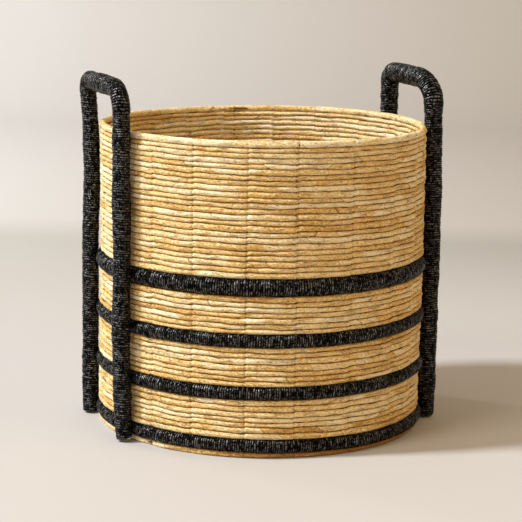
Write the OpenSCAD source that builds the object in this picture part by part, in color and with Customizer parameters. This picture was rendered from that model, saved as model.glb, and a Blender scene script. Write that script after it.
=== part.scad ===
// Round storage basket: rope wall woven on steel stakes between cord-wrapped hoops,
// with two fixed upright handles welded to the hoops.
// Origin: centre of the footprint on the floor. +Z up, the handles stand on the X axis.

/* [Wall] */
// Outer diameter of the woven wall
body_d = 430; // [410:2:440]
// Height of the wall, from the floor to the top of the rim rope
wall_h = 398; // [394:1:404]
// Thickness of one row of rope
rope_d = 9; // [8.6:0.1:9.2]
// Rows of rope between the rim rope and the top hoop
upper_rows = 23; // [21:1:24]
// Rows of rope between two neighbouring hoops
lower_rows = 7; // [6:1:7]

/* [Hoops] */
// Height of the centre of the top hoop
top_hoop_z = 216.5; // [216:0.5:218]
// Distance from one hoop's centre to the next one's
hoop_pitch = 66.8; // [66.2:0.1:66.8]
// Thickness of the top hoop over its cord
top_hoop_d = 23; // [21:0.5:24]
// Thickness of the three lower hoops over their cord
low_hoop_d = 18; // [17:0.5:18.5]
// How far the hoops stand out from the wall
hoop_proud = 4.2; // [3.6:0.1:4.4]

/* [Handles] */
// Overall height of the basket, to the top of the handles
overall_h = 466; // [455:1:480]
// Distance between the centre planes of the two handles
handle_span = 429; // [429:1:433]
// Distance between the centrelines of one handle's legs
leg_spacing = 152; // [148:1:156]
// Thickness of a handle over its cord
handle_d = 22.5; // [21.5:0.5:23.5]
// Radius of a handle's corners, at the centreline
bend_r = 28; // [24:1:34]
// Height of the ends of the legs above the floor
leg_lift = 1; // [0.5:0.5:6]

/* [Frame] */
// Thickness of the layer of black cord on the hoops and handles
cord_t = 3; // [2.6:0.1:3.2]
// Wall of the steel tubes
tube_wall = 1.2; // [1:0.1:1.5]
// Diameter of the rod inside the rim rope and the foot rope
ring_rod_d = 4.4; // [3.6:0.2:4.4]
// Number of upright stakes around the wall
stake_count = 20; // [16:4:20]
// Diameter of a stake
stake_d = 3.2; // [2.4:0.2:3.4]

/* [Base] */
// Rows of rope in the base coil, from the edge to the centre
base_rows = 28; // [27:1:28]
// Thickness of the base coil's rope
base_rope_d = 8.4; // [8:0.1:8.6]
// Number of spokes under the base coil
spoke_count = 8; // [6:1:10]
// Diameter of a spoke
spoke_d = 3; // [2.5:0.1:3.2]

/* [Hidden] */

$fn = 96;
straw = [0.86, 0.70, 0.44];
straw_dark = [0.80, 0.63, 0.38];
black_cord = [0.07, 0.07, 0.08];
steel = [0.32, 0.33, 0.35];
black_plastic = [0.12, 0.12, 0.12];

fit_gap = 0.1;              // clearance between a piece and the one inside it
body_r = body_d / 2;
rope_r = rope_d / 2;
wall_mid_r = body_r - rope_r;
ring_fn = 180;              // facets of a large ring

hoops = [1, 2, 3, 4];
function hoop_z(n) = top_hoop_z - (n - 1) * hoop_pitch;
function hoop_r(n) = (n == 1 ? top_hoop_d : low_hoop_d) / 2;
function hoop_tube_r(n) = hoop_r(n) - cord_t;
function hoop_mid_r(n) = body_r + hoop_proud - hoop_r(n);

rim_z = wall_h - rope_r;
foot_flat = 0.7;            // how much of the foot rope is pressed flat by the floor
foot_z = rope_r - foot_flat;
ring_rod_r = ring_rod_d / 2;

row_nest = 1.2;             // how far a row is squeezed against the hoop next to it
function row_top(n) = n == 1 ? rim_z : hoop_z(n - 1) - hoop_r(n - 1) - rope_r + row_nest;
function row_bottom(n) = hoop_z(n) + hoop_r(n) + rope_r - row_nest;

leg_x = handle_span / 2;
leg_y = leg_spacing / 2;
handle_r = handle_d / 2;
handle_tube_r = handle_r - cord_t;
bar_z = overall_h - handle_r;
leg_angle = atan2(leg_y, leg_x);
leg_far = norm([leg_x, leg_y]);
tip_round = 7;              // rounding of the wrapped end of a leg
tip_t = 2.5;                // thickness of the cord under the end of a leg tube
plug_t = 8;                 // how far a plug goes into its tube
tube_bottom = leg_lift + tip_t;
pad_r = 2.6;                // radius of a weld pad between a hoop and a leg

spoke_z = foot_z;
spoke_r = spoke_d / 2;
base_z = spoke_z + spoke_r + base_rope_d / 2 + fit_gap;
base_pitch = 7;
base_out_r = hoop_mid_r(4) - hoop_r(4) - fit_gap;
base_row_1 = base_out_r - base_rope_d / 2;
hub_r = 18;                 // centreline radius of the small ring that joins the spokes
spoke_dip = 0.4;            // how far a spoke's end is fitted to the curve of that ring

// ---------- shared shapes ----------

// Solid or hollow ring around the basket's axis
module ring(mid_r, z, r, bore = 0) {
    rotate_extrude($fn = ring_fn)
        translate([mid_r, z])
            difference() {
                circle(r);
                if (bore > 0) circle(bore);
            }
}

// Everything drawn once at each stake's place
module at_stakes() {
    for (i = [0 : stake_count - 1])
        rotate([0, 0, (i + 0.5) * 360 / stake_count])
            translate([wall_mid_r, 0, 0])
                children();
}

// Upright rods at the stakes' places, from z = low to z = high
module stake_rods(low, high, r) {
    at_stakes() translate([0, 0, low]) cylinder(r = r, h = high - low, $fn = 32);
}

// Straight upright leg of a handle, at one corner
module leg_rod(side, end, low, r) {
    translate([side * leg_x, end * leg_y, low])
        cylinder(r = r, h = bar_z - bend_r - low);
}

// Corner between a leg and the top bar
module corner(side, end, r) {
    translate([side * leg_x, end * (leg_y - bend_r), bar_z - bend_r])
        rotate([0, 0, 90 * end])
            rotate([90, 0, 0])
                rotate_extrude(angle = 90)
                    translate([bend_r, 0]) circle(r);
}

// One whole handle: two legs, two corners and the top bar
module handle_path(side, low, r) {
    for (end = [-1, 1]) {
        leg_rod(side, end, low, r);
        corner(side, end, r);
    }
    translate([side * leg_x, bend_r - leg_y, bar_z])
        rotate([-90, 0, 0])
            cylinder(r = r, h = leg_spacing - 2 * bend_r);
}

// Level rods from the basket's axis out through the legs of one handle
module leg_bores(side, n, r) {
    for (end = [-1, 1])
        rotate([0, 0, (side > 0 ? 0 : 180) + side * end * leg_angle])
            translate([hoop_mid_r(n), 0, hoop_z(n)])
                rotate([0, 90, 0])
                    cylinder(r = r, h = leg_far - hoop_mid_r(n), $fn = 32);
}

// ---------- steel frame ----------

module rim_ring() {
    color(steel) ring(wall_mid_r, rim_z, ring_rod_r - fit_gap / 2);
}

module hoop_tube(n) {
    color(steel) ring(hoop_mid_r(n), hoop_z(n), hoop_tube_r(n), hoop_tube_r(n) - tube_wall);
}

module foot_ring() {
    color(steel) ring(wall_mid_r, foot_z, ring_rod_r - fit_gap / 2);
}

// Stakes from the ring above panel n to the ring below it, their ends cut to the rings
module stakes(n) {
    high = n == 1 ? rim_z : hoop_z(n - 1);
    low = n == 5 ? foot_z : hoop_z(n);
    color(steel)
        difference() {
            stake_rods(low, high, stake_d / 2);
            if (n == 1) ring(wall_mid_r, rim_z, ring_rod_r);
            if (n > 1) ring(hoop_mid_r(n - 1), hoop_z(n - 1), hoop_tube_r(n - 1) + fit_gap / 2);
            if (n < 5) ring(hoop_mid_r(n), hoop_z(n), hoop_tube_r(n) + fit_gap / 2);
            if (n == 5) ring(wall_mid_r, foot_z, ring_rod_r);
        }
}

module base_hub() {
    color(steel) ring(hub_r, spoke_z, spoke_r);
}

module base_spokes() {
    spoke_in = hub_r + spoke_r - spoke_dip;
    color(steel)
        difference() {
            for (i = [0 : spoke_count - 1])
                rotate([0, 0, (i + 0.5) * 360 / spoke_count])
                    translate([spoke_in, 0, spoke_z])
                        rotate([0, 90, 0])
                            cylinder(r = spoke_r, h = wall_mid_r - spoke_in, $fn = 32);
            ring(wall_mid_r, foot_z, ring_rod_r);
            ring(hub_r, spoke_z, spoke_r + fit_gap / 2);
        }
}

module handle_tube(side) {
    color(steel)
        difference() {
            handle_path(side, tube_bottom, handle_tube_r);
            handle_path(side, tube_bottom - 1, handle_tube_r - tube_wall);
        }
}

// Short round pads that join a handle's tube to each hoop tube
module weld_pads(side) {
    color(steel)
        difference() {
            for (n = hoops) leg_bores(side, n, pad_r);
            for (n = hoops) ring(hoop_mid_r(n), hoop_z(n), hoop_tube_r(n) + fit_gap / 2);
            for (end = [-1, 1]) leg_rod(side, end, 0, handle_tube_r + fit_gap / 2);
        }
}

module leg_plugs(side) {
    color(black_plastic)
        for (end = [-1, 1])
            translate([side * leg_x, end * leg_y, tube_bottom])
                cylinder(r = handle_tube_r - tube_wall - fit_gap, h = plug_t);
}

// ---------- black cord ----------

// Cord around one hoop, open where the stakes and weld pads pass, hollowed by the legs
module hoop_wrap(n) {
    stake_gap = stake_d / 2 + fit_gap;
    color(black_cord)
        difference() {
            ring(hoop_mid_r(n), hoop_z(n), hoop_r(n), hoop_tube_r(n) + fit_gap);
            stake_rods(hoop_z(n) - hoop_r(n) - 1, hoop_z(n) + hoop_r(n) + 1, stake_gap);
            for (side = [-1, 1]) {
                leg_bores(side, n, pad_r + fit_gap);
                for (end = [-1, 1]) leg_rod(side, end, 0, handle_r + fit_gap);
            }
        }
}

// Closed, rounded end of the cord around a leg
module leg_tip(side, end) {
    translate([side * leg_x, end * leg_y, leg_lift])
        rotate_extrude() {
            square([handle_r - tip_round, tip_round]);
            intersection() {
                translate([handle_r - tip_round, tip_round]) circle(tip_round);
                square([handle_r, tip_round]);
            }
        }
}

module handle_wrap(side) {
    color(black_cord)
        difference() {
            union() {
                handle_path(side, leg_lift + tip_round, handle_r);
                for (end = [-1, 1]) leg_tip(side, end);
            }
            handle_path(side, tube_bottom - fit_gap, handle_tube_r + fit_gap);
            for (n = hoops) leg_bores(side, n, pad_r + fit_gap);
        }
}

// ---------- rope ----------

module rim_rope() {
    color(straw)
        difference() {
            ring(wall_mid_r, rim_z, rope_r, ring_rod_r);
            stake_rods(rim_z - rope_d, rim_z, stake_d / 2 + fit_gap);
        }
}

// Rows of rope between two rings, woven round the stakes
module wall_rows(n) {
    count = n == 1 ? upper_rows : lower_rows - 1;
    step = (row_top(n) - row_bottom(n)) / count;
    first = n == 1 ? 1 : 0;
    color(n == 1 ? straw : straw_dark)
        difference() {
            rotate_extrude($fn = ring_fn)
                difference() {
                    union()
                        for (i = [first : count])
                            translate([wall_mid_r, row_top(n) - i * step]) circle(rope_r);
                    if (n == 1) translate([wall_mid_r, rim_z]) circle(rope_r + fit_gap);
                    if (n > 1)
                        translate([hoop_mid_r(n - 1), hoop_z(n - 1)]) circle(hoop_r(n - 1) + fit_gap);
                    translate([hoop_mid_r(n), hoop_z(n)]) circle(hoop_r(n) + fit_gap);
                }
            stake_rods(hoop_z(n), row_top(n) + rope_d, stake_d / 2 + fit_gap);
        }
}

// Lowest row, wound round the foot ring, pressed flat by the floor and hollowed by the lowest hoop
module foot_rope() {
    color(straw_dark)
        difference() {
            rotate_extrude($fn = ring_fn)
                difference() {
                    translate([wall_mid_r, foot_z]) circle(rope_r);
                    translate([wall_mid_r, foot_z]) circle(ring_rod_r);
                    translate([hoop_mid_r(4), hoop_z(4)]) circle(hoop_r(4) + fit_gap);
                    translate([wall_mid_r - rope_d, -rope_d]) square([2 * rope_d, rope_d]);
                }
            stake_rods(foot_z, foot_z + rope_d, stake_d / 2 + fit_gap);
            for (i = [0 : spoke_count - 1])
                rotate([0, 0, (i + 0.5) * 360 / spoke_count])
                    translate([wall_mid_r - rope_d, 0, spoke_z])
                        rotate([0, 90, 0])
                            cylinder(r = spoke_r + fit_gap, h = rope_d, $fn = 32);
        }
}

// Flat coil of rope that closes the bottom
module base_coil() {
    color(straw_dark)
        rotate_extrude($fn = ring_fn)
            intersection() {
                union() {
                    for (i = [0 : base_rows - 1])
                        translate([base_row_1 - i * base_pitch, base_z]) circle(base_rope_d / 2);
                    translate([0, base_z]) circle(base_rope_d / 2);
                }
                translate([0, base_z - base_rope_d]) square([body_r, 2 * base_rope_d]);
            }
}

rim_ring();
hoop_tube(1);  // hoop_tube_1
hoop_tube(2);  // hoop_tube_2
hoop_tube(3);  // hoop_tube_3
hoop_tube(4);  // hoop_tube_4
foot_ring();
stakes(1);  // stakes_1
stakes(2);  // stakes_2
stakes(3);  // stakes_3
stakes(4);  // stakes_4
stakes(5);  // stakes_5
base_hub();
base_spokes();
handle_tube(-1);  // handle_tube_left
handle_tube(1);  // handle_tube_right
weld_pads(-1);  // weld_pads_left
weld_pads(1);  // weld_pads_right
leg_plugs(-1);  // leg_plugs_left
leg_plugs(1);  // leg_plugs_right
hoop_wrap(1);  // hoop_wrap_1
hoop_wrap(2);  // hoop_wrap_2
hoop_wrap(3);  // hoop_wrap_3
hoop_wrap(4);  // hoop_wrap_4
handle_wrap(-1);  // handle_wrap_left
handle_wrap(1);  // handle_wrap_right
rim_rope();
wall_rows(1);  // wall_rows_1
wall_rows(2);  // wall_rows_2
wall_rows(3);  // wall_rows_3
wall_rows(4);  // wall_rows_4
foot_rope();
base_coil();
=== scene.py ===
"""Looks of the round storage basket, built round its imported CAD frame. Metres, +Z up."""
import math

import bpy
import numpy as np
from mathutils import Matrix, Vector


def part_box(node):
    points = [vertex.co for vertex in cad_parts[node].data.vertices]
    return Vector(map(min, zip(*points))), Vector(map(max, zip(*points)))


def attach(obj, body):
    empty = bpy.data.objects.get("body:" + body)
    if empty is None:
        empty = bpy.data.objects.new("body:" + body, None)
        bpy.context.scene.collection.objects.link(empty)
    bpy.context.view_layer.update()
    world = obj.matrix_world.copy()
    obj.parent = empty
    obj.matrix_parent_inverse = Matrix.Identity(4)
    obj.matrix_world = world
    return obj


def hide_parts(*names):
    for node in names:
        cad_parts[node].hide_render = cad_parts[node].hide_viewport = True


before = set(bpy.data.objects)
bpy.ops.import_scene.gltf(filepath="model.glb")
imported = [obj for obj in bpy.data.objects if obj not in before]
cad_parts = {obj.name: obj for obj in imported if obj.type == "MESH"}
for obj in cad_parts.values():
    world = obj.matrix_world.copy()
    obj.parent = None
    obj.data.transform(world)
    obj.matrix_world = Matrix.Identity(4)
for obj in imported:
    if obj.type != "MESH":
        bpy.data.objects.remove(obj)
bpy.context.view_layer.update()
TAU = 2 * math.pi
MM = 0.001

# ---------- sizes, from the frame ----------


def middle(node):
    low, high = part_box(node)
    return (low + high) / 2


def thickness(node, axis):
    low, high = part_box(node)
    return high[axis] - low[axis]


X, Y, Z = 0, 1, 2
BODY_R = thickness("rim_rope", Y) / 2
ROPE_R = thickness("rim_rope", Z) / 2
WALL_R = BODY_R - ROPE_R
RIM_Z = middle("rim_rope").z
FOOT_LOW, FOOT_HIGH = (corner.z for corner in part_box("foot_rope"))
HOOPS = [1, 2, 3, 4]
HOOP_Z = {n: middle(f"hoop_wrap_{n}").z for n in HOOPS}
HOOP_R = {n: thickness(f"hoop_wrap_{n}", Z) / 2 for n in HOOPS}
HOOP_MID_R = {n: thickness(f"hoop_wrap_{n}", Y) / 2 - HOOP_R[n] for n in HOOPS}
BASE_Z = middle("base_coil").z
BASE_R = thickness("base_coil", Y) / 2
BASE_ROPE_R = thickness("base_coil", Z) / 2
HANDLE_R = thickness("handle_wrap_right", X) / 2
HANDLE_X = middle("handle_wrap_right").x
LEG_Y = thickness("handle_wrap_right", Y) / 2 - HANDLE_R
LEG_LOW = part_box("handle_wrap_right")[0].z
BAR_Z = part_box("handle_wrap_right")[1].z - HANDLE_R

STAKES = 20
ROWS = {1: 23, 2: 7, 3: 7, 4: 7}    # turns of rope in each panel, from the top
TUCK = 0.6 * MM                     # how far a row slips under the cord beside it
RIM_LOW = RIM_Z - 0.9 * ROPE_R      # where the rim row meets the rows below it
LEG_ANGLE = math.atan2(LEG_Y, HANDLE_X)
LEG_ANGLES = [LEG_ANGLE, math.pi - LEG_ANGLE, math.pi + LEG_ANGLE, -LEG_ANGLE]

# ---------- mesh helpers ----------


class Skin:
    """Collects tubes, each a grid of points, and turns them into one mesh."""

    def __init__(self, extra=()):
        self.points, self.quads, self.uvs = [], [], []
        self.extra = {name: [] for name in extra}
        self.count = 0

    def tube(self, grid, along, around, closed, **extra):
        """Adds a tube of quads. grid is (rings, sides, 3).

        along and around are the UV values, one more than the cells each way. extra holds point attributes.
        """
        rings, sides = grid.shape[:2]
        cells = rings if closed else rings - 1
        i, k = np.meshgrid(np.arange(cells), np.arange(sides), indexing="ij")
        i2, k2 = (i + 1) % rings, (k + 1) % sides
        quads = np.stack([i * sides + k, i2 * sides + k, i2 * sides + k2, i * sides + k2], -1)
        u, v = np.asarray(along), np.asarray(around)
        uvs = np.stack([np.stack([u[i], v[k]], -1), np.stack([u[i + 1], v[k]], -1),
                        np.stack([u[i + 1], v[k + 1]], -1), np.stack([u[i], v[k + 1]], -1)], -2)
        self.quads.append(quads.reshape(-1, 4) + self.count)
        self.uvs.append(uvs.reshape(-1, 2))
        self.points.append(grid.reshape(-1, 3))
        for name in self.extra:
            self.extra[name].append(np.broadcast_to(extra[name], (rings, sides)).reshape(-1))
        self.count += rings * sides

    def build(self, name):
        points, quads = np.concatenate(self.points), np.concatenate(self.quads)
        mesh = bpy.data.meshes.new(name)
        mesh.vertices.add(len(points))
        mesh.vertices.foreach_set("co", points.astype(np.float32).ravel())
        mesh.loops.add(quads.size)
        mesh.loops.foreach_set("vertex_index", quads.astype(np.int32).ravel())
        mesh.polygons.add(len(quads))
        mesh.polygons.foreach_set("loop_start", np.arange(0, quads.size, 4, dtype=np.int32))
        mesh.polygons.foreach_set("use_smooth", np.ones(len(quads), bool))
        mesh.update(calc_edges=True)
        uv = mesh.uv_layers.new(name="strand")
        uv.data.foreach_set("uv", np.concatenate(self.uvs).astype(np.float32).ravel())
        for key, values in self.extra.items():
            layer = mesh.attributes.new(key, "FLOAT", "POINT")
            layer.data.foreach_set("value", np.concatenate(values).astype(np.float32))
        obj = bpy.data.objects.new(name, mesh)
        bpy.context.scene.collection.objects.link(obj)
        return obj


def finish_piece(obj, material, slot, *nodes):
    """Gives a new piece its material, parents it to the root body and hides the frame parts it stands for."""
    obj.data.materials.append(material)
    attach(obj, "root")
    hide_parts(*nodes)


def fade(f):
    """Smooth step from 0 to 1."""
    return f * f * (3 - 2 * f)


def ring_noise(rng, knots, angles):
    """Smooth random values from -1 to 1 round a ring, with this many random knots."""
    values = rng.uniform(-1, 1, knots)
    x = (angles / TAU % 1) * knots
    i = np.floor(x).astype(int)
    f = fade(x - i)
    return values[i % knots] * (1 - f) + values[(i + 1) % knots] * f


def line_noise(rng, length, step, s):
    """Smooth random values from -1 to 1 along a line, a new random value every step."""
    knots = int(length / step) + 3
    values = rng.uniform(-1, 1, knots)
    x = np.clip(s / step, 0, knots - 2.001)
    i = np.floor(x).astype(int)
    f = fade(x - i)
    return values[i] * (1 - f) + values[i + 1] * f


# ---------- rope ----------

ROPE_RINGS = 1250
ROPE_SIDES = 16
STAKE_TURN = TAU / STAKES
STAKE_SHIFT = math.radians(2.6)
SWAY_ANGLE = math.radians(-110.35)  # the rim stays level here, and strays up and down round the far side
DIP_ANGLE = math.radians(-45)
DIP_WIDTH = math.radians(60)
FOOT_DIP = 2.6 * MM
# how dark the painted shade on the lowest row is where it dips most
FOOT_PAINTED_SHADE = 3.4
ROW_WANDER = 0.82 * MM
END_WANDER = 0.5 * MM
ROW_SAW = 1.3 * MM                  # rows step up or down this far at each stake line
LEAF = 0.6 * MM                     # step at the edge of a wrapped leaf
LEAF_EDGE = 0.07
LAP_SPACING = 62 * MM
LAP_FALL = 11 * MM
LAP_STEP = 0.35 * MM
TIGHT_WIDTH = 5 * MM
SLIT_WIDTH = 1.1 * MM
BASE_PITCH = 7.4 * MM
BASE_SIDES = 14
BASE_OUT = 3.2 * MM                 # how far the last base turn reaches out, to close the gap at the wall
BASE_LAST_TURN = 0.93
BASE_TAPER = 16 * MM


def stake_phase(angles):
    """0 to 1 between one stake line and the next. The lines aren't quite evenly spaced."""
    stray = 0.10 * np.sin(3 * angles + 1.2) + 0.06 * np.sin(7 * angles)
    return ((angles - STAKE_SHIFT) / STAKE_TURN + 0.5 + stray) % 1


def pinch(angles, width):
    """1 at a stake line, falling to 0 within about width metres each side."""
    phase = stake_phase(angles)
    off = np.minimum(phase, 1 - phase) * STAKE_TURN * BODY_R
    return np.exp(-(off / width) ** 2)


def foot_dip(angles):
    """1 where the lowest ring has settled most, at the front right, falling to 0 on the far side."""
    away = np.angle(np.exp(1j * (angles - DIP_ANGLE)))
    return np.exp(-(away / DIP_WIDTH) ** 2)


def sway(angles, z):
    """How far the handmade wall strays from a true cylinder: up or down, and in or out."""
    turn = angles - SWAY_ANGLE
    rise = np.clip((z - HOOP_Z[1]) / (RIM_Z - HOOP_Z[1]), 0, 1)
    lift = -1.5 * MM * np.sin(2 * turn) * (1 - np.cos(turn)) / 2 * rise
    out = 0.7 * MM * np.sin(3 * angles + 9 * z) + 0.5 * MM * np.sin(5 * angles - 14 * z)
    return lift, out


def wrap_share(phi, seam):
    """0 to 1 across each of the two leaves wrapped round a rope. Their edges follow seam."""
    return ((phi - seam[:, None]) * 2 / TAU) % 1


def leaf_edge(wind):
    """1 along the edge of a wrapped leaf, 0 away from it."""
    return np.exp(-(np.minimum(wind, 1 - wind) / LEAF_EDGE) ** 2)


def laps(rng, length, spacing, s, phi):
    """Ends of leaves laid over each other: a slanted step up, then a slow fall.

    Gives the height, a tone per leaf, and how near each point is to an end.
    """
    height = np.zeros(np.broadcast(s, phi).shape)
    tone = np.zeros_like(height)
    edge = np.zeros_like(height)
    at = rng.uniform(0, spacing)
    level = rng.uniform(-1, 1)
    tone += level
    while at < length:
        slant = rng.choice([-1, 1, 1]) * rng.uniform(2.0, 6.0) * MM
        t = s - at + slant * np.sin(phi) + rng.uniform(0.2, 0.8) * MM * np.sin(2 * phi + rng.uniform(0, TAU))
        step = 1 / (1 + np.exp(-np.clip(t / LAP_STEP, -30, 30)))
        strong = rng.uniform(0, 1) ** 3
        height += (0.25 + 0.8 * strong) * MM * step * np.exp(-np.maximum(t, 0) / LAP_FALL)
        wide = (0.7 + 0.6 * strong) * MM
        edge = np.maximum(edge, np.exp(-((t + wide / 2) / wide) ** 2) * (0.35 + 0.65 * strong))
        new = rng.uniform(-1, 1)
        tone += (new - level) * step
        level = new
        at += spacing * rng.uniform(0.3, 1.7)
    return height, tone, edge


def patch_noise(rng, s, phi, length, step, cells):
    """Smooth random values from -1 to 1 over a rope's surface, about step metres across."""
    along = int(length / step) + 3
    values = rng.uniform(-1, 1, (along, cells))
    x = np.clip(s / step, 0, along - 2.001)
    y = (phi / TAU % 1) * cells
    i, k = np.floor(x).astype(int), np.floor(y).astype(int)
    f, g = fade(x - i), fade(y - k)
    k0, k1 = k % cells, (k + 1) % cells
    low = values[i, k0] * (1 - g) + values[i, k1] * g
    high = values[i + 1, k0] * (1 - g) + values[i + 1, k1] * g
    return low * (1 - f) + high * f


def rope_ring(skin, rng, low, high, start, angles, open_side, painted_shade):
    """One turn of wall rope between the edge curves low and high, each a height for every angle.

    open_side is 1 where no row lies above, -1 where none lies below, else 0. The last argument, a painted
    shade, darkens the leaves' colour most where the basket has settled on the floor.
    """
    s = (angles - start) * WALL_R
    length = TAU * WALL_R
    phi = (np.arange(ROPE_SIDES) / ROPE_SIDES * TAU - TAU / 4)[None, :]
    centre = ((low + high) / 2)[:, None]
    half_h = ((high - low) / 2)[:, None] * 1.01
    lump = 1 + 0.06 * ring_noise(rng, 60, angles) + 0.04 * ring_noise(rng, 190, angles)
    tight, slit = pinch(angles, TIGHT_WIDTH), pinch(angles, SLIT_WIDTH)
    thick = ROPE_R * lump * (1 - 0.05 * tight)
    middle_r = WALL_R + (0.35 * np.sin(stake_phase(angles) * math.pi) - 0.35 * tight - 1.0 * slit) * MM
    middle_r = middle_r + rng.uniform(-0.5, 0.5) * MM + 0.5 * MM * ring_noise(rng, 36, angles)
    twist = rng.uniform(70, 130) * MM
    seam = rng.uniform(0, TAU) + TAU * s / twist + 0.9 * ring_noise(rng, 24, angles)
    wind = wrap_share(phi, seam)
    lap, tone, lap_edge = laps(rng, length, LAP_SPACING, s[:, None], phi)
    s2 = np.broadcast_to(s[:, None], lap.shape)
    phi2 = np.broadcast_to(phi, lap.shape)
    crumple = 0.34 * patch_noise(rng, s2, phi2, length, 9 * MM, 5)
    crumple = (crumple + 0.24 * patch_noise(rng, s2, phi2, length, 4 * MM, 9)) * MM
    grow = LEAF * (0.5 - wind) + lap - 0.35 * MM + crumple
    cos, sin = np.cos(phi), np.sin(phi)
    out = cos * (thick[:, None] + grow)
    up = sin * (half_h * (1 - 0.10 * slit[:, None]) + grow * 0.3)
    lift, stray = sway(angles[:, None], centre)
    r = middle_r[:, None] + out + stray
    z = centre + up + lift
    grid = np.stack([r * np.cos(angles)[:, None], r * np.sin(angles)[:, None], np.maximum(z, 0)], -1)
    around = np.arange(ROPE_SIDES + 1) / ROPE_SIDES * TAU * ROPE_R + rng.uniform(0, 9)
    along = np.append(s, length) + rng.uniform(0, 9)
    skin.tube(
        grid, along, around, True,
        # the leaves' random tone, less the painted shade on the lowest row
        tone=tone * 0.6 + rng.uniform(-0.5, 0.5) - painted_shade * foot_dip(angles)[:, None],
        # painted shade along leaf seams, at leaf ends and in the notches at the stake lines
        crease=np.maximum(np.maximum(leaf_edge(wind) * 0.45, lap_edge), 0.3 * slit[:, None]),
        # painted shade where a row meets the next, left off the side that no row touches
        groove=np.abs(sin) ** 9 * (sin * open_side <= 0),
    )


class EdgeCurves:
    """The curves that part neighbouring rows: level lines at these heights, each wandering a little.

    They are sampled finely once and read at any angles.
    """

    def __init__(self, rng, heights, wander):
        self.grid = np.linspace(0, TAU, 2401)
        self.curves = []
        shared = ring_noise(rng, 26, self.grid)
        sag = (stake_phase(self.grid) - 0.5) * (1 - pinch(self.grid, 2 * MM))
        for i, height in enumerate(heights):
            end = i in (0, len(heights) - 1)
            own = 0.75 * ring_noise(rng, 34, self.grid) + 0.55 * ring_noise(rng, 90, self.grid)
            lift = (0.5 * shared + own) * wander * (0.25 if end else 1)
            self.curves.append(height + lift - ROW_SAW * sag * (0 if end else 1))

    def __call__(self, index, angles):
        return np.interp(angles % TAU, self.grid, self.curves[index])


def rope_rows(name, rng, curves, rows, material, node, open_side=0, painted_shade=0.0):
    """One piece made of a few turns of wall rope. rows numbers each turn's lower and upper curve."""
    skin = Skin(("tone", "crease", "groove"))
    for low, high in rows:
        start = rng.uniform(0, TAU)
        angles = start + np.arange(ROPE_RINGS) / ROPE_RINGS * TAU
        rope_ring(skin, rng, curves(low, angles), curves(high, angles), start, angles, open_side, painted_shade)
    finish_piece(skin.build(name), material, "straw_rope", node)


def wall_panel(n, material):
    """The rows between two rings, in pieces of two or three turns each."""
    rng = np.random.default_rng(100 + n)
    top = RIM_LOW if n == HOOPS[0] else HOOP_Z[n - 1] - HOOP_R[n - 1] + TUCK
    bottom = HOOP_Z[n] + HOOP_R[n] - TUCK
    shares = 1 + rng.uniform(-0.17, 0.17, ROWS[n])
    heights = bottom + (top - bottom) * np.append(0, np.cumsum(shares) / shares.sum())
    curves = EdgeCurves(rng, heights, ROW_WANDER)
    if n == HOOPS[-1]:
        for i, curve in enumerate(curves.curves):
            curve -= FOOT_DIP * foot_dip(curves.grid) * (1 - i / ROWS[n])
    first, piece = 0, 1
    while first < ROWS[n]:
        count = 3 if ROWS[n] - first == 3 else 2
        rows = [(i, i + 1) for i in range(first, first + count)]
        rope_rows(f"wall_{n}_rope_{piece:02d}", rng, curves, rows, material, f"wall_rows_{n}")
        first += count
        piece += 1


def single_row(name, low, high, seed, material, node, open_side, dip=0.0, painted_shade=0.0):
    """The rim row or the foot row."""
    rng = np.random.default_rng(seed)
    curves = EdgeCurves(rng, [low, high], END_WANDER)
    curves.curves[1] -= dip * foot_dip(curves.grid)
    rope_rows(name, rng, curves, [(0, 1)], material, node, open_side, painted_shade)


def base_coil(material):
    """One long rope wound in a flat spiral, from the centre out.

    Its last turn is round, not spiral, and closes the edge.
    """
    rng = np.random.default_rng(300)
    edge = BASE_R - BASE_ROPE_R + BASE_OUT
    length = math.pi * edge * (edge / BASE_PITCH) + BASE_LAST_TURN * TAU * edge
    s = np.arange(0, length, 3 * MM)
    r = np.minimum(np.sqrt(s * BASE_PITCH / math.pi + (0.45 * BASE_PITCH) ** 2), edge)
    angle = np.cumsum(np.append(0, np.diff(s) / (0.5 * (r[1:] + r[:-1]))))
    phi = (np.arange(BASE_SIDES) / BASE_SIDES * TAU)[None, :]
    lump = 1 + 0.05 * line_noise(rng, length, 22 * MM, s) + 0.03 * line_noise(rng, length, 8 * MM, s)
    lap, tone, lap_edge = laps(rng, length, 80 * MM, s[:, None], phi)
    seam = TAU * s / (90 * MM) + line_noise(rng, length, 60 * MM, s)
    wind = wrap_share(phi, seam)
    grow = LEAF * (0.5 - wind) + lap * 0.8
    taper = np.clip(np.minimum(s, length - s) / BASE_TAPER, 0.12, 1)[:, None]
    half_w = (BASE_PITCH / 2 * 1.08 * lump[:, None] + grow * 0.3) * taper
    half_h = (BASE_ROPE_R * 0.93 * lump[:, None] + grow) * taper
    rr = r[:, None] + np.cos(phi) * half_w
    z = BASE_Z + np.sin(phi) * half_h
    grid = np.stack([rr * np.cos(angle)[:, None], rr * np.sin(angle)[:, None], z], -1)
    skin = Skin(("tone", "crease", "groove"))
    skin.tube(
        grid, s, np.arange(BASE_SIDES + 1) / BASE_SIDES * TAU * BASE_ROPE_R, False,
        # painted shade along leaf seams and at leaf ends
        # painted shade where neighbouring base turns meet
        tone=tone * 0.6, crease=np.maximum(leaf_edge(wind) * 0.5, lap_edge), groove=np.abs(np.cos(phi)) ** 5,
    )
    finish_piece(skin.build("base_coil_rope"), material, "straw_rope", "base_coil")


# ---------- black cord ----------

CORD_PITCH = 2.9 * MM
CORD_STEPS = 7                      # points along one turn of cord
CORD_SIDES = 24
HOOP_THICKER = {1: 0.7 * MM, 2: 0.25 * MM, 3: 0.25 * MM, 4: 0.1 * MM}
LEG_PRESS = 2.4 * MM                # how far a handle leg presses each hoop in
LEG_PRESS_WIDTH = 11 * MM


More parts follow.
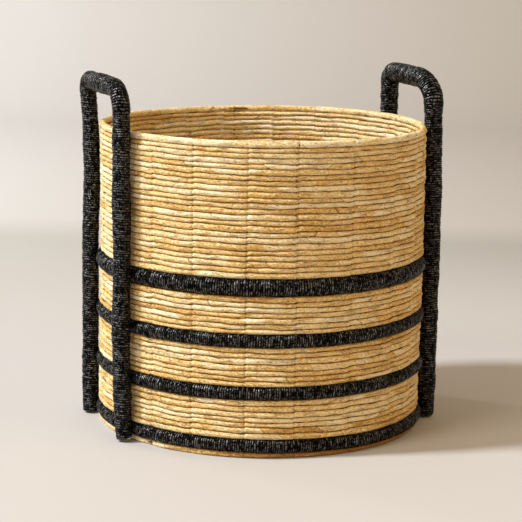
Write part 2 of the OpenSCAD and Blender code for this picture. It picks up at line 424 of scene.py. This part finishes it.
def cord_surface(rng, s, phi, length):
    """Height of the wound cord over the layer beneath, its share of the full height, and a value per turn."""
    slip = 0.28 * line_noise(rng, length, 9 * MM, s) + 0.14 * line_noise(rng, length, 4 * MM, s)
    lean = 0.34 * line_noise(rng, length, 12 * MM, s)
    wave = slip[:, None] + lean[:, None] * np.sin(phi + 3 * line_noise(rng, length, 40 * MM, s)[:, None])
    turn = s[:, None] / CORD_PITCH - phi / TAU + wave
    index = np.floor(turn).astype(int)
    x = 2 * (turn - index) - 1
    count = int(length / CORD_PITCH) + 16
    offsets = rng.uniform(-0.3, 0.3, count) * MM
    shades = rng.uniform(0, 1, count)
    pick = (index + 6) % count
    crown = np.sqrt(np.maximum(1 - x * x, 0.0))
    return CORD_PITCH / 2 * crown + offsets[pick], crown, shades[pick]


def leg_press(angles):
    """1 where a handle leg crosses a hoop, falling to 0 beside it."""
    press = 0
    for leg_angle in LEG_ANGLES:
        away = np.angle(np.exp(1j * (angles - leg_angle))) * BODY_R
        press = press + np.exp(-(away / LEG_PRESS_WIDTH) ** 2)
    return press


def hoop_wrap(n, material):
    rng = np.random.default_rng(200 + n)
    length = TAU * HOOP_MID_R[n]
    turns = round(length / CORD_PITCH)
    rings = turns * CORD_STEPS
    angles = np.arange(rings) / rings * TAU
    s = angles / TAU * turns * CORD_PITCH
    phi = (np.arange(CORD_SIDES) / CORD_SIDES * TAU - math.pi)[None, :]
    high, crown, shade = cord_surface(rng, s, phi, length)
    lump = 0.35 * ring_noise(rng, 50, angles) + 0.2 * ring_noise(rng, 150, angles)
    r = HOOP_R[n] + HOOP_THICKER[n] - CORD_PITCH / 2 + high + lump[:, None] * MM
    mid = HOOP_MID_R[n] - LEG_PRESS * leg_press(angles) + 0.4 * MM * ring_noise(rng, 30, angles)
    z = HOOP_Z[n] + 0.5 * MM * ring_noise(rng, 24, angles)
    if n == HOOPS[-1]:
        z -= FOOT_DIP * foot_dip(angles)
    rr = mid[:, None] + r * np.cos(phi)
    zz = z[:, None] + r * np.sin(phi)
    grid = np.stack([rr * np.cos(angles)[:, None], rr * np.sin(angles)[:, None], zz], -1)
    skin = Skin(("turn", "crown"))
    around = np.arange(CORD_SIDES + 1) / CORD_SIDES * TAU * HOOP_R[n]
    skin.tube(grid, np.append(s, turns * CORD_PITCH), around, True, turn=shade, crown=crown)
    finish_piece(skin.build(f"hoop_{n}_cord"), material, "black_cord", f"hoop_wrap_{n}")


class Leg:
    """How one hand-wrapped leg strays from the drawing. Everything is in mm.

    low is how far its foot stops short. bend_high and bend_long are the size of the bend at its top, and
    flatter is how far the inside of that bend is pressed in. leans gives its shift along X at some heights.
    """

    def __init__(self, low=0.0, bend_high=17, bend_long=17, flatter=0.0, thicker=0.0, leans=()):
        self.low = LEG_LOW + low * MM
        self.bend_high = bend_high * MM
        self.bend_long = bend_long * MM
        self.flatter = flatter * MM
        self.thicker = thicker * MM
        self.heights = [height * MM for height, _ in leans]
        self.leans = [shift for _, shift in leans]

    def lean(self, z):
        """Shift along X at each height, smooth between the stated heights."""
        fine = np.linspace(0, BAR_Z, 200)
        rough = np.interp(fine, self.heights, self.leans)
        soft = np.convolve(np.pad(rough, 12, "edge"), np.hanning(27)[1:-1] / np.hanning(27).sum(), "valid")
        return np.interp(z, fine, soft) * MM


LEGS = {
    (-1, -1): Leg(
        low=3, bend_high=30, bend_long=34, flatter=3, thicker=0.3,
        leans=((0, 3.0), (40, 1.0), (150, -1.6), (250, -0.8), (400, -2.0), (460, -3.0))),
    (-1, 1): Leg(
        bend_high=19, bend_long=19, thicker=-0.3,
        leans=((0, 0.6), (240, 0.0), (320, 2.4), (390, 0.6), (460, -5.4))),
    (1, -1): Leg(
        bend_high=30, bend_long=56, flatter=3, thicker=1.2,
        leans=((0, -2.2), (100, -1.6), (270, -0.8), (380, -3.0), (460, -5.0))),
    (1, 1): Leg(thicker=0.8, leans=((0, 0.0), (460, 0.2))),
}
BAR_THICKER = {-1: 0.4 * MM, 1: 0.9 * MM}
BAR_SHIFT = {-1: -3.2 * MM, 1: 1.2 * MM}
BAR_REACH = 26 * MM                 # the bar's own thickness comes in over this height
LEG_POINTS = 400
BEND_POINTS = 80
BAR_POINTS = 120
STEEL_STEP = 4 * MM
STEEL_SIDES = 20
STEEL_ENDS = 2                      # steps that the tube stops short of the cord at each end
DOME = 4 * MM
END_TAPER = 40 * MM


def handle_route(side, step):
    """Centreline of one handle, from the foot of its front leg over the bar to the foot of its back leg.

    Gives the length so far, points, normals in the handle's plane, thickness added, and how far the
    inside of each bend is pressed flat.
    """
    front, back = LEGS[side, -1], LEGS[side, 1]
    pieces = []
    for end, leg in ((-1, front), (1, back)):
        up = np.linspace(leg.low, BAR_Z - leg.bend_high, LEG_POINTS)
        turn = np.linspace(0, TAU / 4, BEND_POINTS)[1:]
        y = np.append(np.full(LEG_POINTS, LEG_Y), LEG_Y - leg.bend_long * (1 - np.cos(turn)))
        z = np.append(up, BAR_Z - leg.bend_high * (1 - np.sin(turn)))
        flat = np.append(np.zeros(LEG_POINTS), leg.flatter * np.sin(2 * turn))
        pieces.append((end * y, z, flat))
    (front_y, front_z, front_flat), (back_y, back_z, back_flat) = pieces
    across = np.linspace(front_y[-1], back_y[-1], BAR_POINTS)[1:-1]
    y = np.concatenate([front_y, across, back_y[::-1]])
    z = np.concatenate([front_z, np.full(len(across), BAR_Z), back_z[::-1]])
    flat = np.concatenate([front_flat, np.zeros(len(across)), back_flat[::-1]])
    rise = np.clip(z / BAR_Z, 0, 1) ** 2
    share = fade(np.clip((y / LEG_Y + 1) / 2, 0, 1))
    x = side * HANDLE_X + front.lean(z) * (1 - share) + back.lean(z) * share
    top = fade(np.clip((z - BAR_Z + BAR_REACH) / BAR_REACH, 0, 1))
    thicker = front.thicker * (1 - share) + back.thicker * share
    thicker = thicker + (BAR_THICKER[side] - 0.3 * thicker) * top
    z = z + BAR_SHIFT[side] * rise
    far = np.append(0, np.cumsum(np.sqrt(np.diff(x) ** 2 + np.diff(y) ** 2 + np.diff(z) ** 2)))
    s = np.linspace(0, far[-1], int(far[-1] / step))
    x, y, z, thicker, flat = (np.interp(s, far, values) for values in (x, y, z, thicker, flat))
    ty, tz = np.gradient(y, s), np.gradient(z, s)
    size = np.hypot(ty, tz)
    points = np.stack([x, y, z], -1)
    normals = np.stack([np.zeros_like(s), -tz / size, ty / size], -1)
    return s, points, normals, thicker, flat


def handle_grid(side, points, normals, phi, r):
    """Rings of radius r round the centreline."""
    out = np.array([side, 0, 0])
    return points[:, None] + r[..., None] * (
        np.cos(phi)[..., None] * normals[:, None] + np.sin(phi)[..., None] * out)


def side_name(side):
    return "right" if side > 0 else "left"


def handle_wrap(side, material):
    name = side_name(side)
    rng = np.random.default_rng(400 + side)
    s, points, normals, thicker, flat = handle_route(side, CORD_PITCH / CORD_STEPS)
    length = s[-1]
    phi = (np.arange(CORD_SIDES) / CORD_SIDES * TAU)[None, :]
    high, crown, shade = cord_surface(rng, s, phi, length)
    end = np.minimum(s, length - s)
    dome = np.sqrt(np.clip(1 - (1 - np.clip(end / DOME, 0, 1)) ** 2.6, 0, 1))
    taper = 0.93 + 0.07 * np.clip(end / END_TAPER, 0, 1)
    lump = 0.6 * line_noise(rng, length, 24 * MM, s) + 0.4 * line_noise(rng, length, 8 * MM, s)
    body = HANDLE_R + 0.35 * MM - CORD_PITCH / 2 + high + (thicker + lump * MM)[:, None]
    r = body * (taper * dome)[:, None] - flat[:, None] * np.clip(-np.cos(phi), 0, 1)
    points[:, X] += 0.4 * MM * line_noise(rng, length, 110 * MM, s)
    skin = Skin(("turn", "crown"))
    around = np.arange(CORD_SIDES + 1) / CORD_SIDES * TAU * HANDLE_R
    skin.tube(handle_grid(side, points, normals, phi, r), s, around, False, turn=shade, crown=crown)
    finish_piece(skin.build(f"handle_{name}_cord"), material, "black_cord", f"handle_wrap_{name}")


def handle_steel(side, material):
    """The tube inside the cord, bent the same way."""
    name = side_name(side)
    s, points, normals = handle_route(side, STEEL_STEP)[:3]
    inside = slice(STEEL_ENDS, -STEEL_ENDS)
    s, points, normals = s[inside], points[inside], normals[inside]
    phi = (np.arange(STEEL_SIDES) / STEEL_SIDES * TAU)[None, :]
    radius = thickness(f"handle_tube_{name}", X) / 2
    r = np.full((len(s), STEEL_SIDES), radius)
    r[[0, -1]] = 0.2 * MM
    points[0], points[-1] = points[1], points[-2]
    skin = Skin()
    around = np.arange(STEEL_SIDES + 1) / STEEL_SIDES * TAU * radius
    skin.tube(handle_grid(side, points, normals, phi, r), s, around, False)
    finish_piece(skin.build(f"handle_{name}_tube"), material, "frame_steel", f"handle_tube_{name}")


# ---------- materials ----------


class Nodes:
    """Short way to write a node material."""

    def __init__(self, name):
        self.material = bpy.data.materials.new(name)
        self.material.use_nodes = True
        self.tree = self.material.node_tree
        self.shader = self.tree.nodes["Principled BSDF"]

    def add(self, kind, inputs=None, **settings):
        node = self.tree.nodes.new(kind)
        for key, value in settings.items():
            setattr(node, key, value)
        for key, value in (inputs or {}).items():
            self.set(node.inputs[key], value)
        return node

    def set(self, socket, value):
        if isinstance(value, bpy.types.NodeSocket):
            self.tree.links.new(value, socket)
        else:
            socket.default_value = value

    def math(self, operation, a, b=0.0):
        return self.add("ShaderNodeMath", {0: a, 1: b}, operation=operation).outputs[0]

    def sum(self, *parts):
        """Adds up values, each given with its weight."""
        values = [self.math("MULTIPLY", value, weight) for value, weight in parts]
        total = values[0]
        for value in values[1:]:
            total = self.math("ADD", total, value)
        return total

    def mix(self, factor, a, b):
        node = self.add("ShaderNodeMix", data_type="RGBA")
        self.set(node.inputs[0], factor)
        self.set(node.inputs[6], a)
        self.set(node.inputs[7], b)
        return node.outputs[2]

    def attribute(self, name):
        return self.add("ShaderNodeAttribute", attribute_name=name).outputs["Fac"]

    def noise(self, vector, scale, detail, roughness=0.55):
        return self.add("ShaderNodeTexNoise", {
            "Vector": vector, "Scale": scale, "Detail": detail, "Roughness": roughness}).outputs["Fac"]

    def strand_noise(self, uv, along, across, detail, roughness):
        """Noise on a strand, with this many cells per metre along and across it."""
        scaled = self.add("ShaderNodeMapping", {"Vector": uv, "Scale": (along, across, 1)}).outputs[0]
        return self.noise(scaled, 1.0, detail, roughness)

    def ramp(self, factor, *stops):
        node = self.add("ShaderNodeValToRGB", {"Fac": factor})
        elements = node.color_ramp.elements
        while len(elements) < len(stops):
            elements.new(0.5)
        for element, (position, colour) in zip(elements, stops):
            element.position = position
            element.color = (*colour, 1)
        return node.outputs[0]

    def range(self, value, low, high, to_low=0.0, to_high=1.0):
        node = self.add("ShaderNodeMapRange", {"Value": value, "From Min": low, "From Max": high})
        self.set(node.inputs["To Min"], to_low)
        self.set(node.inputs["To Max"], to_high)
        return node.outputs[0]

    def bump(self, height, strength, distance):
        node = self.add("ShaderNodeBump", {"Height": height, "Strength": strength, "Distance": distance})
        self.set(self.shader.inputs["Normal"], node.outputs[0])


def rope_material():
    """Dry leaf: fine fibres and brown stains.

    Painted shade at seams, at leaf ends and where rows meet, and painted shadow in dark slits between rows.
    """
    m = Nodes("straw_rope")
    uv = m.add("ShaderNodeUVMap", uv_map="strand").outputs[0]
    twisted = m.add("ShaderNodeMapping", {"Vector": uv, "Rotation": (0, 0, 0.3)}).outputs[0]
    fibre = m.strand_noise(twisted, 80, 1300, 4, 0.65)
    streak = m.strand_noise(uv, 30, 420, 3, 0.6)
    crumple = m.strand_noise(twisted, 260, 560, 4, 0.7)
    blotch = m.strand_noise(uv, 45, 110, 4, 0.6)
    spots = m.strand_noise(twisted, 120, 300, 4, 0.75)
    slit_shadow_noise = m.strand_noise(uv, 55, 20, 3, 0.6)
    folds = m.strand_noise(twisted, 150, 330, 3, 0.6)
    fold = m.range(m.math("ABSOLUTE", m.math("SUBTRACT", folds, 0.5)), 0.004, 0.022, 1.0, 0.0)
    fold = m.math("MULTIPLY", fold, m.range(blotch, 0.49, 0.60))
    tone, groove = m.attribute("tone"), m.attribute("groove")
    # painted shadow: near black in broken stretches where rows meet, for gaps the geometry doesn't have
    slit = m.math("MULTIPLY", m.range(groove, 0.20, 0.6), m.range(slit_shadow_noise, 0.50, 0.56))
    crease = m.math("MULTIPLY", m.attribute("crease"), m.range(crumple, 0.42, 0.56, 0.35, 1.0))
    colour = m.ramp(
        m.sum((fibre, 0.25), (streak, 0.20), (crumple, 0.55), (tone, 0.065)),
        (0.39, (0.38, 0.16, 0.03)),
        (0.44, (0.72, 0.41, 0.10)),
        (0.50, (0.93, 0.65, 0.235)),
        (0.56, (1.0, 0.90, 0.64)),
    )
    colour = m.mix(m.range(blotch, 0.55, 0.72, 0, 0.45), colour, (0.62, 0.34, 0.10, 1))
    colour = m.mix(m.range(spots, 0.60, 0.65, 0, 0.9), colour, (0.13, 0.042, 0.009, 1))
    colour = m.mix(m.math("MULTIPLY", fold, 0.65), colour, (0.34, 0.135, 0.02, 1))
    # painted shade: darker, warmer colour where rows meet
    colour = m.mix(m.range(groove, 0.1, 0.8, 0, 0.8), colour, (0.47, 0.20, 0.025, 1))
    # painted shadow in the slits between rows
    colour = m.mix(slit, colour, (0.02, 0.007, 0.002, 1))
    # painted shade at seams, leaf ends and stake notches, near black where they are strongest
    colour = m.mix(m.range(crease, 0.15, 0.5, 0, 0.8), colour, (0.26, 0.105, 0.026, 1))
    colour = m.mix(m.range(crease, 0.5, 0.85, 0, 0.95), colour, (0.05, 0.018, 0.005, 1))
    m.set(m.shader.inputs["Base Color"], colour)
    m.set(m.shader.inputs["Roughness"], m.range(fibre, 0.3, 0.7, 0.60, 0.40))
    m.set(m.shader.inputs["Specular IOR Level"], m.range(groove, 0.0, 0.3, 0.40, 0.05))
    m.bump(m.sum((fibre, 0.35), (streak, 0.45), (crumple, 1.0), (crease, -0.5), (fold, -0.35)), 1.0, 1.3 * MM)
    return m.material


def cord_material():
    """Black waxed cord: painted highlights as light, glossy specks on the crown of each turn, painted shade
    between turns, and a few worn spots.
    """
    m = Nodes("black_cord")
    uv = m.add("ShaderNodeUVMap", uv_map="strand").outputs[0]
    turn = m.attribute("turn")
    split = m.add("ShaderNodeSeparateXYZ", {0: uv})
    along, around = split.outputs[0], split.outputs[1]
    ply = m.sum((around, TAU / (3.4 * MM)), (turn, 40.0), (along, TAU / (4.4 * MM)))
    bead = m.math("SINE", ply)
    strand = m.add("ShaderNodeCombineXYZ", {
        0: m.math("MULTIPLY", turn, 60.0), 1: m.math("MULTIPLY", around, 125.0)}).outputs[0]
    streak = m.noise(strand, 1.0, 3, 0.6)
    grain = m.strand_noise(uv, 700, 260, 2, 0.6)
    patch = m.strand_noise(uv, 110, 160, 3, 0.6)
    worn = m.strand_noise(uv, 60, 90, 4, 0.6)
    speck = m.strand_noise(uv, 430, 430, 2, 0.6)
    # painted highlight in specks on the crown of each turn, painted shade between turns; specular and coat
    # follow it
    light = m.range(m.sum((streak, 0.42), (speck, 0.34), (patch, 0.24)), 0.46, 0.60, 0.04, 1.0)
    light = m.math("MULTIPLY", light, m.range(m.attribute("crown"), 0.70, 0.95))
    colour = m.ramp(
        light,
        (0.0, (0.001, 0.0009, 0.0008)),
        (0.3, (0.007, 0.0066, 0.006)),
        (0.7, (0.030, 0.029, 0.029)),
        (1.0, (0.12, 0.117, 0.118)),
    )
    colour = m.mix(m.range(worn, 0.72, 0.78, 0, 0.6), colour, (0.16, 0.09, 0.035, 1))
    m.set(m.shader.inputs["Base Color"], colour)
    m.set(m.shader.inputs["Roughness"], m.range(grain, 0.3, 0.7, 0.40, 0.30))
    m.set(m.shader.inputs["Specular IOR Level"], m.range(light, 0.1, 0.8, 0.03, 1.0))
    m.set(m.shader.inputs["Coat Weight"], m.range(light, 0.2, 0.7))
    m.shader.inputs["Coat Roughness"].default_value = 0.22
    m.bump(m.sum((bead, 0.3), (grain, 0.8)), 1.0, 0.6 * MM)
    return m.material


def steel_material(name, paint, rust):
    m = Nodes(name)
    place = m.add("ShaderNodeTexCoord").outputs["Object"]
    peel = m.noise(place, 900, 3)
    wear = m.noise(place, 120, 5, 0.7)
    m.set(m.shader.inputs["Base Color"], m.mix(m.range(wear, 0.62, 0.72), paint, rust))
    m.set(m.shader.inputs["Roughness"], m.range(peel, 0.3, 0.7, 0.35, 0.55))
    m.bump(peel, 0.25, 0.2 * MM)
    return m.material


def plug_material():
    m = Nodes("leg_plug")
    place = m.add("ShaderNodeTexCoord").outputs["Object"]
    grain = m.noise(place, 1400, 3)
    colour = m.ramp(grain, (0.3, (0.012, 0.012, 0.012)), (0.7, (0.03, 0.03, 0.03)))
    m.set(m.shader.inputs["Base Color"], colour)
    m.set(m.shader.inputs["Roughness"], m.range(grain, 0.3, 0.7, 0.5, 0.7))
    m.bump(grain, 0.2, 0.1 * MM)
    return m.material


# ---------- studio ----------

CAMERA_AZIMUTH = math.radians(-20.35)
CAMERA_DISTANCE = 2.546
CAMERA_HEIGHT = 0.6838
CAMERA_PITCH = math.radians(10.52)
CAMERA_ROLL = 0.0168
CAMERA_LENS = 133.6
FORWARD = Vector((-math.sin(CAMERA_AZIMUTH), math.cos(CAMERA_AZIMUTH), 0))
RIGHT = Vector((math.cos(CAMERA_AZIMUTH), math.sin(CAMERA_AZIMUTH), 0))


def make_camera():
    """The photo's viewpoint."""
    data = bpy.data.cameras.new("photo_camera")
    data.lens = CAMERA_LENS
    data.sensor_width = 36
    obj = bpy.data.objects.new("photo_camera", data)
    bpy.context.scene.collection.objects.link(obj)
    look = (FORWARD * math.cos(CAMERA_PITCH) - Vector((0, 0, math.sin(CAMERA_PITCH)))).normalized()
    turn = look.to_track_quat("-Z", "Y").to_matrix().to_4x4()
    place = Matrix.Translation(-FORWARD * CAMERA_DISTANCE + Vector((0, 0, CAMERA_HEIGHT)))
    obj.matrix_world = place @ turn @ Matrix.Rotation(CAMERA_ROLL, 4, "Z")
    bpy.context.scene.camera = obj


def area_light(name, where, target, size, power, colour):
    data = bpy.data.lights.new(name, "AREA")
    data.shape = "DISK"
    data.size = size
    data.energy = power
    data.color = colour
    obj = bpy.data.objects.new(name, data)
    bpy.context.scene.collection.objects.link(obj)
    obj.location = where
    obj.rotation_euler = (target - where).to_track_quat("-Z", "Y").to_euler()
    obj.visible_camera = False


def studio_point(right, forward, up):
    """A point given from the photo camera's side: to the right, away from the camera, and up."""
    return RIGHT * right + FORWARD * forward + Vector((0, 0, up))


def make_lights():
    """A cool key from the left, fill from above, a warm fill from the right, and a light on the paper."""
    heart = Vector((0, 0, 0.2))
    area_light("key_light", studio_point(-5.2, -1.35, 5.8), heart, 1.0, 640, (0.86, 0.945, 1.0))
    area_light("top_light", studio_point(-2.0, -1.9, 2.5), heart, 1.4, 38, (1.0, 0.94, 0.84))
    area_light("warm_light", studio_point(2.6, -1.4, 2.2), heart, 2.0, 21, (1.0, 0.66, 0.20))
    paper = studio_point(-0.6, 4.0, 0.4)
    area_light("wall_light", studio_point(-2.6, 1.6, 1.6), paper, 1.0, 50, (1.0, 1.0, 1.0))
    world = bpy.data.worlds.new("studio")
    world.use_nodes = True
    world.node_tree.nodes["Background"].inputs["Color"].default_value = (1.0, 0.79, 0.57, 1)
    world.node_tree.nodes["Background"].inputs["Strength"].default_value = 0.42
    bpy.context.scene.world = world


FLOOR_START = -6.0
FLOOR_END = 3.4
FLOOR_HALF_WIDTH = 7.0
SWEEP_R = 1.2
SWEEP_STEPS = 24
WALL_TOP = 6.0
HORIZON = 1.37                      # where the paper's tone changes, this far behind the basket
HORIZON_SOFT = 0.23


def make_stage():
    """A pale floor that curves up into a pale wall, well behind the basket.

    Its paper has painted light and shade: a little lighter to the right up close, darker further back, and
    darker to the right on the far floor and the wall. It changes tone at the horizon.
    """
    profile = [(FLOOR_START, 0.0), (FLOOR_END, 0.0)]
    for i in range(1, SWEEP_STEPS + 1):
        a = i / SWEEP_STEPS * TAU / 4
        profile.append((FLOOR_END + SWEEP_R * math.sin(a), SWEEP_R - SWEEP_R * math.cos(a)))
    profile.append((FLOOR_END + SWEEP_R, WALL_TOP))
    mesh = bpy.data.meshes.new("studio_sweep")
    verts = [(w, d, z) for d, z in profile for w in (-FLOOR_HALF_WIDTH, FLOOR_HALF_WIDTH)]
    faces = [(2 * i, 2 * i + 1, 2 * i + 3, 2 * i + 2) for i in range(len(profile) - 1)]
    mesh.from_pydata(verts, [], faces)
    for polygon in mesh.polygons:
        polygon.use_smooth = True
    obj = bpy.data.objects.new("studio_sweep", mesh)
    bpy.context.scene.collection.objects.link(obj)
    obj.rotation_euler.z = CAMERA_AZIMUTH
    m = Nodes("studio_paper")
    place = m.add("ShaderNodeTexCoord").outputs["Object"]
    split = m.add("ShaderNodeSeparateXYZ", {0: place})
    right, forward = split.outputs[0], split.outputs[1]
    soft = m.noise(place, 0.8, 2)
    paper = m.ramp(soft, (0.3, (0.585, 0.55, 0.53)), (0.7, (0.60, 0.565, 0.545)))
    # painted light and shade: lighter to the right up close, darker further back, darker to the right far off
    near = m.mix(m.range(right, -0.45, 0.45, 0.92, 1.0), (0, 0, 0, 1), paper)
    back = m.mix(m.range(right, -0.5, 0.5), (0.455, 0.43, 0.40, 1), (0.40, 0.375, 0.34, 1))
    floor = m.mix(m.range(forward, 0.3, 1.3), near, back)
    wall = m.mix(m.range(right, -0.8, 0.8), (0.57, 0.545, 0.53, 1), (0.49, 0.445, 0.40, 1))
    paint = m.mix(m.range(forward, HORIZON, HORIZON + HORIZON_SOFT), floor, wall)
    m.set(m.shader.inputs["Base Color"], paint)
    m.shader.inputs["Roughness"].default_value = 0.8
    obj.data.materials.append(m.material)


# ---------- the basket ----------


def build():
    rope, cord = rope_material(), cord_material()
    steel = steel_material("frame_steel", (0.018, 0.018, 0.019, 1), (0.09, 0.065, 0.05, 1))
    single_row("rim_row", RIM_LOW, RIM_Z + ROPE_R, 50, rope, "rim_rope", 1)
    for n in HOOPS:
        wall_panel(n, rope)
        hoop_wrap(n, cord)
    single_row("foot_row", FOOT_LOW, FOOT_HIGH + TUCK, 60, rope, "foot_rope", -1, FOOT_DIP, FOOT_PAINTED_SHADE)
    base_coil(rope)
    for side in (-1, 1):
        handle_wrap(side, cord)
        handle_steel(side, steel)
    brown_steel = steel_material("brown_coated_steel", (0.16, 0.075, 0.022, 1), (0.28, 0.15, 0.05, 1))
    plug = plug_material()
    for name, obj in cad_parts.items():
        if name.startswith("leg_plugs"):
            obj.material_slots[0].material = plug
        elif name.startswith(("rim_ring", "foot_ring", "stakes")):
            obj.material_slots[0].material = brown_steel
        elif name.startswith(("hoop_tube", "base_hub", "base_spokes", "weld_pads")):
            obj.material_slots[0].material = steel


make_camera()
make_lights()
make_stage()
build()
bpy.context.scene.view_settings.view_transform = "Standard"
